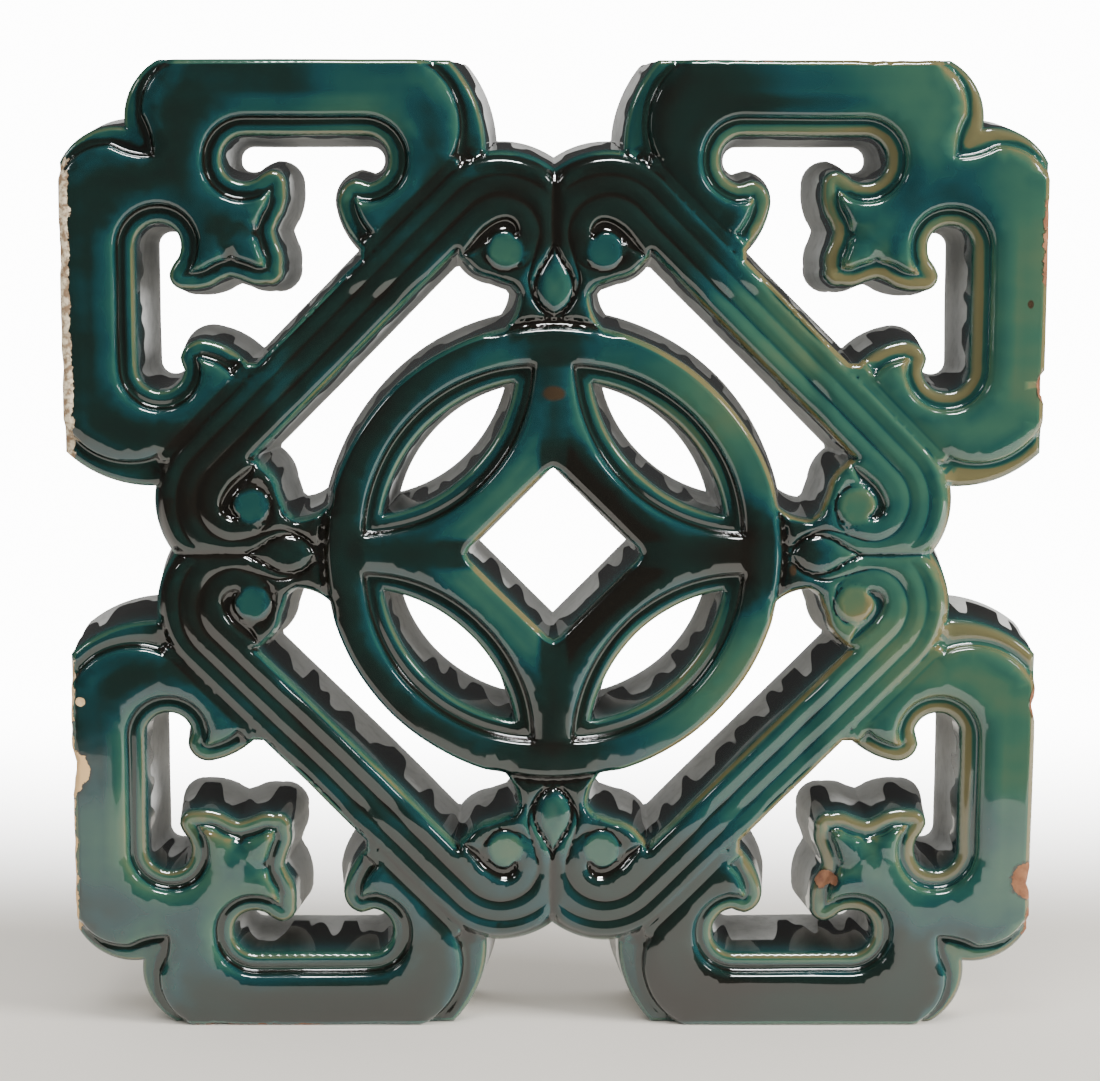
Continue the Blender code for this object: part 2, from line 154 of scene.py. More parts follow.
# The geometry nodes' inputs, in metres
COPYING = {
    "Quarters": 4,
    "Weld": WELD * MM,
    "Wave Length": 46.0 * MM,
    "Wave Height": 0.9 * MM,
    "Ripple Length": 15.0 * MM,
    "Ripple Height": 0.3 * MM,
    "Seed": 7,
}

# Chips, as (centre, reach, depth)
CHIPS = (
    ((-150, -68, 37), (5.8, 7.4, 7), 0.7),
    ((150, -103, 39), (6.4, 5.6, 6), 0.8),
    ((150, 52, 38), (2.6, 5, 5), 1.5),
    ((150, -46, 38), (2.2, 5, 4), 1),
    ((85, -103, 39), (4.6, 3.4, 5), 0),
    ((-146.8, -46, 40), (1.5, 1.4, 2), 0),
)
CHIP_EDGE = 1.7
CHIP_GRAIN = 0.35
STRIP_GRAIN = 0.22
STRIP_FINE_GRAIN = 0.9
STRIP_EDGE = 1.4 * MM
STRIP_END = 4.0 * MM
STRIP_RAGGED = 0.02
STRIP_DEPTH = (-0.011, -0.006)

# Where the glaze lies thicker or thinner, as (x, z, reach, amount)
CLOUDS = (
    (-98, 150, 60, 0.20),
    (0, 262, 55, 0.16),
    (-105, 245, 75, -0.02),
    (50, 150, 34, 0.16),
    (40, 295, 30, 0.14),
    (0, 234, 12, -0.30),
    (0, 66, 12, -0.30),
    (0, 100, 34, 0.20),
    (64, 150, 22, 0.32),
    (72, 288, 30, 0.16),
    (119, 257, 22, 0.26),
    (-52, 290, 26, -0.14),
    (-142, 222, 20, -0.14),
    (-40, 196, 30, 0.16),
    (-42, 102, 28, 0.12),
    (0, 82, 22, 0.12),
    (70, 222, 30, -0.22),
    (64, 70, 26, -0.16),
    (47, 196, 26, -0.20),
    (47, 104, 26, -0.12),
    (0, 214, 15, 0.18),
    (-122, 62, 58, -0.32),
)

# Brown marks under the glaze, as (x, z, half width, half height)
BROWN_SPOTS = (
    (0, 200, 3.6, 2.2),
    (74, 145, 1.2, 1.8),
    (145, 227, 1, 1.4),
)
SPOT_COLOUR = (0.034, 0.022, 0.012)

# The glaze's colour from its thinnest, over edges, to its thickest, in pools
GLAZE_BY_THICKNESS = (
    (0.00, (0.135, 0.100, 0.042)),
    (0.16, (0.058, 0.090, 0.047)),
    (0.32, (0.026, 0.076, 0.049)),
    (0.50, (0.010, 0.050, 0.042)),
    (0.60, (0.0055, 0.034, 0.038)),
    (0.74, (0.0055, 0.0160, 0.0130)),
    (1.00, (0.0072, 0.0062, 0.0045)),
)
GLAZE_ROUGHNESS = 0.12
MATT_ROUGHNESS = 0.5

# The glaze's mean thickness, what each cause adds to it or takes away, and the strength of the painted
# light and shade on slopes facing right
MEAN_THICKNESS = 0.72
TO_THE_RIGHT = 0.34
AT_THE_FOOT = 0.24
BY_CLOUDS = 0.55
BY_STREAKS = 0.12
IN_HOLLOWS = 0.44
OVER_EDGES = 0.42
# Painted light and shade: how much lighter slopes facing right, and how much darker slopes facing left, are
# painted
RIGHT_FACING_PAINTED_LIGHT = 0.20
ON_LEDGES = 0.32
ON_RING = 0.19
ON_BALLS = 0.30

# The body behind the glaze, from dark to light, and the bare clay of chips and strips
DULL_BODY = ((0.40, 0.40, 0.385), (0.48, 0.48, 0.465))
DULL_SPECKS = (0.35, 0.35, 0.335)
RED_CLAY = ((0.125, 0.045, 0.020), (0.25, 0.110, 0.050))
SANDY_CLAY = ((0.24, 0.15, 0.08), (0.74, 0.62, 0.43))
BUFF_CLAY = (0.66, 0.42, 0.19)
CLAY_RIM = (0.012, 0.008, 0.006)

# Strips of bare clay along an outer side, as (axis, side, from, to, width)
BARE_STRIPS = (
    (0, -1, 26, 120, 3.2),
    (0, -1, -124, -32, 1),
    (0, 1, 80, 110, 1.5),
    (0, 1, -123, -111, 1.2),
    (1, 1, 38, 112, 0.1),
    (1, -1, -114, -70, 0.4),
)

# Studio and camera
FLOOR_COLOUR = (0.84, 0.79, 0.71)
FLOOR_SHADE = 0.97
FLOOR_CORNERS = ((-1.6, -0.42), (-0.17, -0.42), (-0.08, -0.33), (1.6, -0.33), (1.6, 0.6), (-1.6, 0.6))
FLOOR_FADE = (0.08, 0.55)
BACKGROUND = (0.97, 0.97, 0.96, 1.0)
CAMERA_PLACE = (-0.0066, -0.8571, 0.2612)
CAMERA_LENS = 89.73
CAMERA_SHIFT = (0.0, 0.06)
CAMERA_TURN = (radians(81.364), radians(-0.095), radians(-0.361))

DIAGONAL = sqrt(0.5)
BAR_INNER = RING_RADIUS + RING_TO_BAR
BAR_OUTER = BAR_INNER + BAR_WIDTH
SCROLL_Y = (BAR_OUTER - SCROLL_RADIUS) / DIAGONAL - SCROLL_X


# Plane paths

def arc_points(start, end, rise):
    """Points after start along an arc whose middle stands rise to the left of its chord."""
    across = (end[0] - start[0], end[1] - start[1])
    chord = hypot(*across)
    if abs(rise) < 1e-6:
        count = max(1, ceil(chord / STRAIGHT_SPACING))
        shares = [i / count for i in range(1, count + 1)]
        return [(start[0] + across[0] * share, start[1] + across[1] * share) for share in shares]
    side = 1 if rise > 0 else -1
    radius = (chord * chord / 4 + rise * rise) / (2 * abs(rise))
    half_turn = 2 * atan2(2 * abs(rise), chord)
    count = max(2, ceil(2 * half_turn * radius / ROUND_SPACING))
    reach = side * (radius - abs(rise)) / chord
    centre = ((start[0] + end[0]) / 2 + across[1] * reach, (start[1] + end[1]) / 2 - across[0] * reach)
    first = atan2(start[1] - centre[1], start[0] - centre[0])
    angles = [first - side * 2 * half_turn * i / count for i in range(1, count)]
    return [(centre[0] + radius * cos(a), centre[1] + radius * sin(a)) for a in angles] + [end]


def trace(start, *knots):
    """A path from start through (x, y, rise) knots, each reached along an arc."""
    points = [start]
    for x, y, rise in knots:
        points += arc_points(points[-1], (x, y), rise)
    return points


def circle_path(centre, radius, first, last):
    count = max(1, ceil(abs(last - first) * radius / ROUND_SPACING))
    angles = [first + (last - first) * i / count for i in range(count + 1)]
    return [(centre[0] + radius * cos(a), centre[1] + radius * sin(a)) for a in angles]


def knots_from(origin, size, shares):
    """Knots for trace, from (x, y, rise) shares of a size laid off from an origin."""
    return [(origin[0] + x * size, origin[1] + y * size, rise * size) for x, y, rise in shares]


def mirrored(points):
    """The same path on the other side of the diagonal, run backwards."""
    return [(y, x) for x, y in reversed(points)]


def across_axis(points):
    """The same path on the other side of the upright axis, run backwards."""
    return [(-x, y) for x, y in reversed(points)]


# Half outlines of the openings, each from the diagonal or the axis back to it

def corner_half():
    edge = 2 * BAR_OUTER * DIAGONAL
    flower = (BAR_OUTER + FLOWER_TO_BAR) * DIAGONAL
    right = flower + FLOWER_TO_SLOT_END
    left = right - SLOT_LENGTH
    top = HALF - RIM_WIDTH
    low = top - SLOT_WIDTH
    end = SLOT_WIDTH / 2
    pocket = left + HOOK_REACH * 0.55
    hook = ((1.0, -0.50, -0.07), (0.66, 0.07, -0.15), (0.41, -0.01, -0.007))
    slot_end = ((-0.32, 0.05, 0.10), (-0.74, 0.10, 0.04))
    lobes = (
        (0.074, 1.0, -0.009), (-0.062, 0.853, -0.047), (-0.021, 0.592, -0.018), (0.047, 0.453, 0.006),
        (-0.018, 0.266, 0.006), (-0.024, 0.124, -0.009), (0.006, 0.006, -0.018),
    )
    return trace(
        (edge / 2, edge / 2),
        (pocket, edge - pocket, 0),
        (pocket, edge - pocket + POCKET_DEPTH, 0),
        *knots_from((left, low), HOOK_REACH, hook),
        (left, top - end, end * 0.26),
        (left + end, top, end * 0.3),
        (right - end, top, 0),
        (right, top - end, end * 0.3),
        *knots_from((right, low), SLOT_WIDTH, slot_end),
        *knots_from((flower, flower), low + LOBE_RISE - flower, lobes),
    )


def bar_half():
    edge = 2 * BAR_INNER * DIAGONAL
    neck = NECK_WIDTH / 2
    foot_x = neck + NECK_FLARE
    foot = (foot_x, sqrt(RING_RADIUS ** 2 - foot_x ** 2))
    tip_x = SCROLL_X + SCROLL_RADIUS * 0.516
    coil = ((0.429, -0.285, 0.012), (0.118, -0.468, 0.040))
    half = trace(
        (edge / 2, edge / 2),
        (tip_x, edge - tip_x, 0),
        *knots_from((SCROLL_X, SCROLL_Y), SCROLL_RADIUS, coil),
        (neck + SHOULDER_CUT, SCROLL_Y - SCROLL_RADIUS * 0.555, 0),
        (neck, SCROLL_Y - SCROLL_RADIUS * 0.555 - SHOULDER_CUT * 1.3, 0),
        (*foot, -NECK_FLARE / 4),
    )
    return half + circle_path((0, 0), RING_RADIUS, atan2(foot[1], foot[0]), pi / 4)[1:]


def petal_half(growth=0.0):
    """From the petal's outer middle on the diagonal, round its upper tip, to its inner middle."""
    tip_radius = RING_RADIUS - RING_BAND
    centre = tip_radius * cos(PETAL_SPREAD)
    reach = tip_radius * sin(PETAL_SPREAD) + growth * PETAL_TIP_GROWTH
    first = ((centre + reach) * DIAGONAL, (centre - reach) * DIAGONAL)
    last = (first[1], first[0])
    rise = -(PETAL_WIDTH / 2 + growth)
    outer = [first] + arc_points(first, last, rise)
    if len(outer) % 2 == 0:
        outer = [first] + halved(first, last, rise)
    middle = len(outer) // 2
    inner = [centre_swap(x, y, centre) for x, y in outer[::-1]]
    return outer[middle:] + inner[1:len(outer) - middle]


def halved(first, last, rise):
    """The arc's points with an even count of steps, so that one lies on the diagonal."""
    chord = hypot(last[0] - first[0], last[1] - first[1])
    radius = (chord * chord / 4 + rise * rise) / (2 * abs(rise))
    out = abs(rise) * DIAGONAL
    top = ((first[0] + last[0]) / 2 + out, (first[1] + last[1]) / 2 + out)
    half_chord = hypot(top[0] - first[0], top[1] - first[1])
    half_rise = -(radius - sqrt(radius ** 2 - half_chord ** 2 / 4))
    return arc_points(first, top, half_rise) + arc_points(top, last, half_rise)


def centre_swap(x, y, centre):
    """A point mirrored in the line across the diagonal at the petal's centre."""
    along = (x + y) * DIAGONAL
    move = 2 * (centre - along) * DIAGONAL
    return x + move, y + move


def diamond_half():
    """From the diamond's upper apex to the diagonal."""
    apex = DIAMOND_WIDTH / 2 / DIAGONAL
    shoulder = (DIAMOND_CUT, apex - DIAMOND_CUT, 0)
    return trace((0.0, apex - DIAMOND_CUT / 2), shoulder, (apex / 2, apex / 2, 0))


def outer_eighth():
    """From the cusp between two scrolls to the notch in the corner."""
    start = ARM_GAP / 2
    radius = SCROLL_RADIUS + SCROLL_MARGIN
    centre = (SCROLL_X, SCROLL_Y)
    meet = (start, SCROLL_Y + sqrt(radius ** 2 - (start - SCROLL_X) ** 2))
    cusp = (0.0, SCROLL_Y + sqrt(radius ** 2 - SCROLL_X ** 2))
    first = atan2(cusp[1] - centre[1], cusp[0] - centre[0])
    last = atan2(meet[1] - centre[1], meet[0] - centre[0])
    notch = HALF - NOTCH_DEPTH
    return circle_path(centre, radius, first, last) + trace(
        meet,
        (start + ARM_END_WIDTH, HALF, ARM_END_BULGE),
        (notch - SHOULDER_WIDTH, HALF, 0),
        (notch, notch, SHOULDER_BULGE),
    )[1:]


# The free edges of the first eighth, the side of each on which the air lies, and those that start
# on the upright axis
FREE_EDGES = {
    "outer": outer_eighth(),
    "corner": corner_half(),
    "bar": bar_half(),
    "petal": petal_half(),
    "diamond": diamond_half(),
}
AIR_SIDE = {"outer": 1, "corner": -1, "bar": 1, "petal": 1, "diamond": -1}
FROM_AXIS = ("outer", "diamond")


# Lines of the carving in the first eighth

def scroll_place(radius, degrees):
    angle = radians(degrees)
    return (SCROLL_X + radius * cos(angle), SCROLL_Y + radius * sin(angle))


def spiral(table):
    """A path round the coil through (degrees, radius) stops."""
    degrees, radii = zip(*table)
    count = ceil((degrees[-1] - degrees[0]) / 5)
    angles = np.linspace(degrees[0], degrees[-1], count + 1)
    return [scroll_place(r, a) for r, a in zip(np.interp(angles, degrees, radii), angles)]


def along_bar(depth, table):
    """A line at a depth inside the bar's outer edge, from the diagonal into the coil's spiral."""
    middle = (BAR_OUTER - depth) * DIAGONAL
    turn = spiral(table)
    return trace((middle, middle), (*turn[0], 0))[:-1] + turn


def rounded(points, rounds=2):
    """A path with its corners cut again and again, so that it bends softly."""
    for _ in range(rounds):
        cut = [points[0]]
        for (x0, y0), (x1, y1) in zip(points, points[1:]):
            cut.append((x0 * 0.75 + x1 * 0.25, y0 * 0.75 + y1 * 0.25))
            cut.append((x0 * 0.25 + x1 * 0.75, y0 * 0.25 + y1 * 0.75))
        points = cut + [points[-1]]
    return points


def outer_groove():
    """Between the bar's outer and middle reeds."""
    return along_bar(GROOVE_PLACES[0], ((45, 19.1), (90, 19.3), (120, 19.7), (146, 20.0)))


def inner_groove():
    """Between the middle and inner reeds, winding in beside the neck and under the eye."""
    table = ((45, 13.2), (90, 13.3), (135, 13.1), (165, 12.6), (180, 12.0), (205, 11.5), (225, 11.2),
             (270, 9.6), (300, 8.4), (330, 6.4), (360, 5.0), (385, 4.3))
    return along_bar(GROOVE_PLACES[1], table)


def tail_groove():
    """The outer side of the thin tail, which leaves the coil for the ring."""
    return rounded([
        scroll_place(12.0, 180), (5.6, 92.5), (6.6, 89.0), (7.9, 85.0),
        (7.4, 80.5), (5.0, 76.6), (2.6, 73.4),
    ])


def bud_side():
    """Half of the bud's outline, from its point down to the ring."""
    return rounded([
        (0.0, 94.6), (1.3, 92.6), (3.2, 89.4), (5.4, 86.0),
        (6.2, 82.0), (5.2, 78.0), (2.6, 74.8), (0.0, 73.6),
    ])


def coil_hollow():
    """The hollow between the inner reed and the round end of the coil, out to the bar's tip."""
    return rounded([
        (28.2, 91.3), (25.4, 95.4), (22.0, 99.3), (18.4, 102.0), (15.0, 103.0), (12.4, 102.2),
        (10.9, 99.8), (10.9, 97.2), (12.2, 96.8), (13.4, 98.5), (15.6, 99.3), (18.4, 98.5),
        (20.9, 96.2), (22.8, 93.8), (25.4, 92.4), (28.2, 91.3),
    ], 1)


def plate_edges():
    """The raised face's edges along the bar, round the arm's end and at the notch."""
    line = (BAR_OUTER + PLATE_GAP) / DIAGONAL
    start = ARM_GAP / 2 + PLATE_SETBACK
    beyond = HALF + LEDGE_WIDTH
    notch = HALF - NOTCH_DEPTH
    apex = notch - LEDGE_WIDTH * 1.6
    foot = start + ARM_END_WIDTH * 0.2
    along = trace((line / 2, line / 2), (foot, line - foot, 0))
    end = trace(
        (foot, line - foot),
        (start - ARM_END_WIDTH * 0.1, HALF - ARM_END_WIDTH * 1.95, ARM_END_BULGE / 4),
        (start + ARM_END_WIDTH * 0.9, HALF - 0.6, ARM_END_BULGE),
        (start + ARM_END_WIDTH * 1.3, beyond, 0),
    )
    shoulder = trace(
        (notch - SHOULDER_WIDTH * 1.4, beyond),
        (notch - SHOULDER_WIDTH * 1.22, HALF - 0.8, 0),
        (notch - LEDGE_WIDTH, notch + SHOULDER_WIDTH * 0.35, SHOULDER_BULGE * 0.7),
        (apex, apex, -SHOULDER_BULGE / 4),
    )
    return along, end, shoulder


# Height of the front

def smooth(value):
    share = np.clip(value, 0.0, 1.0)
    return share * share * (3 - 2 * share)


def pillow(distance, width, power=2.2):
    """A rounded rise from 0 at an edge to 1 at a distance inside it."""
    return 1 - (1 - np.clip(distance / width, 0.0, 1.0)) ** power


def distances(places, path):
    """How far each place lies from a path."""
    start = np.array(path[:-1])
    step = np.array(path[1:]) - start
    length = np.maximum((step ** 2).sum(axis=1), 1e-12)
    best = np.empty(len(places))
    for first in range(0, len(places), 2000):
        reach = places[first:first + 2000, None, :] - start[None]
        share = np.clip((reach * step).sum(axis=2) / length, 0.0, 1.0)
        gap = reach - share[..., None] * step
        best[first:first + 2000] = np.sqrt((gap ** 2).sum(axis=2).min(axis=1))
    return best


def inside(places, loop):
    """Which places lie inside a closed outline."""
    x, y = places[:, 0:1], places[:, 1:2]
    x0, y0 = np.array(loop).T
    x1, y1 = np.roll(x0, -1), np.roll(y0, -1)
    rise = np.where(y1 == y0, 1.0, y1 - y0)
    crossed = ((y0 > y) != (y1 > y)) & (x < x0 + (y - y0) / rise * (x1 - x0))
    return crossed.sum(axis=1) % 2 == 1


def signed(places, loop, edges):
    """Distance to some edges, positive inside a loop and negative outside it."""
    near = np.min([distances(places, edge) for edge in edges], axis=0)
    return np.where(inside(places, loop), near, -near)


def cut(distance, width, depth, power=1.5):
    """A groove with a sharp bottom and rounded shoulders."""
    return depth * (1 - np.clip(distance / width, 0.0, 1.0)) ** power


def beyond_notch(places):
    """How far places lie outside the narrowing valley between two of a flower's lobes."""
    flower = (BAR_OUTER + FLOWER_TO_BAR) * DIAGONAL
    size = HALF - RIM_WIDTH - SLOT_WIDTH + LOBE_RISE - flower
    inward = places[:, 0] - flower - size * 0.047
    beside = np.abs(places[:, 1] - flower - size * 0.453 - inward * 0.1)
    gap = beside - LOBE_NOTCH_SPREAD * (LOBE_NOTCH - inward)
    return np.where((inward > 0) & (inward < LOBE_NOTCH * 1.5), gap, FAR_OFF)


def bead(edge):
    """The low bead beside an opening. It ends in the valley at a step's foot, where edge is 0."""
    return BEAD_HEIGHT * smooth(-edge / BEAD_SLOPE)


def plate_height(places, near_corner):
    along, end, shoulder = plate_edges()
    half = along + end[1:] + shoulder
    edge = signed(places, half + mirrored(half)[1:-1], (along, end, shoulder))
    edge = np.minimum(edge, near_corner - LEDGE_WIDTH)
    step = pillow(np.minimum(edge, beyond_notch(places)), STEP_WIDTH, STEP_POWER)
    seam = smooth(2 - 2 * distances(places, along) / SEAM_REACH)
    return np.maximum(bead(edge) + RELIEF * step, SEAM_HEIGHT * seam)


def ring_height(places):
    radius = np.hypot(places[:, 0], places[:, 1])
    over_crown = np.clip((radius - RING_RADIUS + RING_CROWN) / RING_CROWN, 0.0, 1.0)
    rim = 1 - RING_DROP / RELIEF * over_crown ** 2
    grown = petal_half(LEDGE_WIDTH)
    edge = -signed(places, grown + mirrored(grown)[1:-1], (grown,))
    petal = pillow(edge, RING_PILLOW, STEP_POWER)
    slope = np.clip(distances(places, diamond_half()) / DIAMOND_SLOPE, 0.0, 1.0)
    middle = 1 - DIAMOND_DIP * (1 - slope) ** 1.3
    neck = smooth((NECK_WIDTH - places[:, 0]) / 6) * cut(RING_RADIUS + RING_SEAM - radius, *NECK_VALLEY)
    return bead(edge) + RELIEF * rim * petal * middle * (1 - neck)


def band_height(places, near_bar):
    """The reeded bars, the coils, the buds and the necks."""
    x, y = places.T
    radius = np.hypot(x - SCROLL_X, y - SCROLL_Y)
    past_turn = (y - SCROLL_Y) - (x - SCROLL_X) > 0
    outer = np.where(past_turn, SCROLL_RADIUS - radius, BAR_OUTER - (x + y) * DIAGONAL)
    outer = np.where((y < SCROLL_Y + 3) & past_turn, FAR_OFF, outer)
    from_ring = np.hypot(x, y) - RING_RADIUS - 2 * RING_SEAM
    edge = np.minimum.reduce([outer, near_bar, from_ring])
    height = REED_FOOT + REED_RISE * pillow(edge, REED_ROUND)
    grooves = np.maximum.reduce([
        cut(distances(places, outer_groove()), *OUTER_GROOVE),
        cut(distances(places, inner_groove()), *INNER_GROOVE),
        cut(distances(places, tail_groove()), *TAIL_GROOVE),
        cut(x, *AXIS_VALLEY) * smooth((y - 92) / 4) * smooth((BAR_OUTER + 14 - y) / 3),
    ])
    height = height - grooves - NECK_DROP * smooth((SCROLL_Y - 10 - y) / 9)
    bud = bud_side()
    in_bud = signed(places, bud + across_axis(bud)[1:-1], (bud,))
    bud_height = BUD_FOOT + BUD_RISE * pillow(in_bud, *BUD_ROUND)
    height = np.where(in_bud > 0, bud_height, height - cut(-in_bud, *BUD_VALLEY))
    hollow = coil_hollow()
    depth = smooth((signed(places, hollow[:-1], (hollow,)) + 1.2) / 2.6)
    height = height * (1 - depth) + HOLLOW_LEVEL * depth
    from_ball = np.hypot(x - BALL[0], y - BALL[1]) / BALL[2]
    height = height + BALL_RISE * np.clip(1 - from_ball ** 4, 0.0, 1.0) - BALL_SINK * (from_ball < 1)
    return np.where(outer > -0.6, np.maximum(height, 0.0), 0.0)


def front_height(places):
    """Height over the back of places in the first eighth."""
    near = {name: distances(places, path) for name, path in FREE_EDGES.items()}
    in_ring = np.hypot(places[:, 0], places[:, 1]) < RING_RADIUS + RING_SEAM
    height = np.maximum(plate_height(places, near["corner"]), band_height(places, near["bar"]))
    height = np.where(in_ring, ring_height(places), height)
    free = np.minimum.reduce(list(near.values()))
    return LEDGE + height - EDGE_DROP * (1 - np.clip(free / EDGE_ROUND, 0.0, 1.0)) ** 2


def folded(places):
    """Places brought into the first eighth across its lines of symmetry."""
    x, y = np.abs(places[:, 0]), np.abs(places[:, 1])
    return np.stack([np.minimum(x, y), np.maximum(x, y)], axis=1)


def hollowness(places, reach, with_air):
    """How far the front rises around each place, which is less than 0 on edges and crests."""
    loop = eighth_loop()
    level = front_height(places)
    around = np.zeros(len(places))
    for i in range(6):
        beside = folded(places + reach * np.array([cos(i * pi / 3), sin(i * pi / 3)]))
        beside += np.array([0.01, 0.03])
        beyond = OPEN_AIR if with_air else level
        around += np.where(inside(beside, loop), front_height(beside), beyond)
    return around / 6 - level


# Mesh

def straight(start, end, spacing):
    across = (end[0] - start[0], end[1] - start[1])
    count = max(1, ceil(hypot(*across) / spacing))
    return [(start[0] + across[0] * i / count, start[1] + across[1] * i / count) for i in range(count + 1)]


def resampled(path, spacing):
    """Places along a path, evenly spaced."""
    points = np.array(path)
    run = np.concatenate([[0.0], np.cumsum(np.hypot(*np.diff(points, axis=0).T))])
    stops = np.linspace(0.0, run[-1], max(2, ceil(run[-1] / spacing) + 1))
    return list(zip(np.interp(stops, run, points[:, 0]), np.interp(stops, run, points[:, 1])))


def offset_rows(path, reaches, spacing):
    """Places beside a path, at several distances to both sides."""
    points = np.array(resampled(path, spacing))
    ahead = np.roll(points, -1, axis=0) - np.roll(points, 1, axis=0)
    ahead[0], ahead[-1] = points[1] - points[0], points[-1] - points[-2]
    ahead /= np.hypot(*ahead.T)[:, None]
    normal = np.stack([-ahead[:, 1], ahead[:, 0]], axis=1)
    return [np.concatenate([points + normal * reach, points - normal * reach]) for reach in reaches]


def hexagons(low, high, spacing):
    rows = np.arange(low[1], high[1], spacing * 0.866)
    columns = np.arange(low[0], high[0], spacing)
    return [(x + (i % 2) * spacing / 2, y) for i, y in enumerate(rows) for x in columns]


class Scatter:
    """Places kept at least a given distance apart, the first comers first."""

    def __init__(self, cell):
        self.cell = cell
        self.grid = {}
        self.places = []

    def add(self, candidates, gap):
        span = ceil(gap / self.cell)
        for x, y in candidates:
            column, row = int(x // self.cell), int(y // self.cell)
            near = (
                self.grid.get((column + i, row + j), ())
                for i in range(-span, span + 1)
                for j in range(-span, span + 1)
            )
            if all(hypot(x - px, y - py) >= gap for cell in near for px, py in cell):
                self.grid.setdefault((column, row), []).append((x, y))
                self.places.append((x, y))


def closed_loop(edges, spacing):
    """The five edges of an eighth as one loop, joined along the axis and the diagonal."""
    outer, corner, bar, petal, diamond = edges
    parts = [
        straight(diamond[0], outer[0], spacing),
        outer,
        straight(outer[-1], corner[-1], spacing),
        corner[::-1],
        straight(corner[0], bar[0], spacing),
        bar,
        straight(bar[-1], petal[0], spacing),
        petal,
        straight(petal[-1], diamond[-1], spacing),
        diamond[::-1],
    ]
    return [place for part in parts for place in part[:-1]]


def eighth_loop():
    return closed_loop(FREE_EDGES.values(), AXIS_SPACING)


def front_places(loop):
    """The places of the front's vertices, densest at edges, steps and grooves."""
    scatter = Scatter(THINNEST)

    def add_beside(path, reaches, spacing, gap=THINNEST):
        for row in offset_rows(path, reaches, spacing):
            scatter.add(row, gap)

    scatter.add(loop, 0.0)
    grooves = (outer_groove(), inner_groove(), tail_groove(), bud_side(), coil_hollow())
    for path in grooves:
        scatter.add(resampled(path, 0.9), THINNEST)
    for path in FREE_EDGES.values():
        add_beside(path, (0.4, 0.9, 1.5, 2.4), 1.3, THINNEST * 0.75)
    along, end, shoulder = plate_edges()
    corner = FREE_EDGES["corner"]
    soft_step = (0.0, 0.6, 1.2, 1.8)
    steps = ((corner, ROWS_BY_STEP), (end, soft_step), (shoulder, soft_step), (along, (0.0, 0.7, 1.5)))
    for path, reaches in steps:
        add_beside(path, reaches, 1.3)
    for growth in ROWS_BY_STEP:
        scatter.add(resampled(petal_half(growth), 1.3), THINNEST)
    add_beside(FREE_EDGES["diamond"], (3.6, 5.2, 7.0, 9.0, 11.0), 1.8, 0.8)
    for path in grooves:
        add_beside(path, (0.55, 1.1), 0.9)
    for depth in np.arange(0.5, BAR_WIDTH, 0.8):
        level = (BAR_OUTER - depth) * DIAGONAL
        end_place = scroll_place(SCROLL_RADIUS - depth, 45)
        scatter.add(straight((level, level), end_place, 1.9), 0.6)
    for radius in np.arange(SCROLL_RADIUS + 0.6, 1.0, -0.85):
        scatter.add(circle_path((SCROLL_X, SCROLL_Y), radius, radians(45), radians(405)), 0.72)
    for depth in (0.4, 1.1, 1.8, 2.3, 2.8, 3.4):
        scatter.add(circle_path((0.0, 0.0), RING_RADIUS - depth, radians(80.5), radians(89.7)), THINNEST)
    for low, high, spacing in (
        ((0.4, 71.0), (31.0, 119.0), 0.95),
        ((1.5, 120.0), (150.0, 150.0), FILL_SPACING),
        ((1.5, 28.0), (150.0, 150.0), FILL_SPACING),
    ):
        scatter.add(hexagons(low, high, spacing), spacing * 0.72)
    places = np.array(scatter.places)
    count = len(loop)
    near = np.min([distances(places, path) for path in FREE_EDGES.values()], axis=0)
    kept = inside(places, loop) & (near > 0.25)
    kept &= (places[:, 0] > 0.25) & (places[:, 1] - places[:, 0] > 0.35)
    kept[:count] = True
    return places[kept]


def triangles(places, loop_count):
    """Triangles between places, inside the loop that the first of them make."""
    ring = list(range(loop_count))
    edges = [(i, (i + 1) % loop_count) for i in ring]
    made = delaunay_2d_cdt([Vector(place) for place in places], edges, [ring], 1, 1e-5)
    faces, origins = made[2:4]
    return [tuple(origins[i][0] for i in face) for face in faces]


def continued(name, count):
    """An edge with some more places at each end, across the lines of symmetry."""
    path = FREE_EDGES[name]
    before = across_axis(path) if name in FROM_AXIS else mirrored(path)
    return before[-count - 1:-1] + path + mirrored(path)[1:count + 1]


def away_from_clay(name):
    """Unit steps from each place of an edge into the open air, mitred at its bends."""
    steps = np.diff(np.array(continued(name, 1)), axis=0)
    steps /= np.hypot(*steps.T)[:, None]
    sides = np.stack([-steps[:, 1], steps[:, 0]], axis=1) * AIR_SIDE[name]
    mitre = sides[:-1] + sides[1:]
    return mitre * (2 / np.maximum((mitre ** 2).sum(axis=1), 0.5))[:, None]


def wall_row(name, shift):
    """The edge moved into the open air. Places that would fold over are gathered where the sides meet."""
    path = FREE_EDGES[name]
    points = np.array(path)
    moved = points + away_from_clay(name) * shift
    if name == "outer":
        level = points[:, 1] > HALF - 1e-6
        moved[level, 1] = HALF
    if shift < 0.01:
        return moved
    sound = distances(moved, continued(name, 39)) > shift * 0.985
    sound |= (name == "outer") & (np.abs(moved[:, 1] - HALF) < 1e-6)
    sound &= (moved[:, 0] >= -1e-6) & (moved[:, 1] - moved[:, 0] >= -1e-6)
    run = []
    for i in range(len(path) + 1):
        if i < len(path) and not sound[i]:
            run.append(i)
            continue
        if run:
            low, high = run[0] - 1, run[-1] + 1
            if low < 0:
                moved[run] = on_line(moved[high], name in FROM_AXIS)
            elif high >= len(path):
                moved[run] = on_line(moved[low], False)
            else:
                moved[run] = (moved[low] + moved[high]) / 2
        run = []
    return moved


def on_line(place, on_axis):
    """The nearest place on the upright axis or the diagonal."""
    middle = place.sum() / 2
    return (0.0, place[1]) if on_axis else (middle, middle)


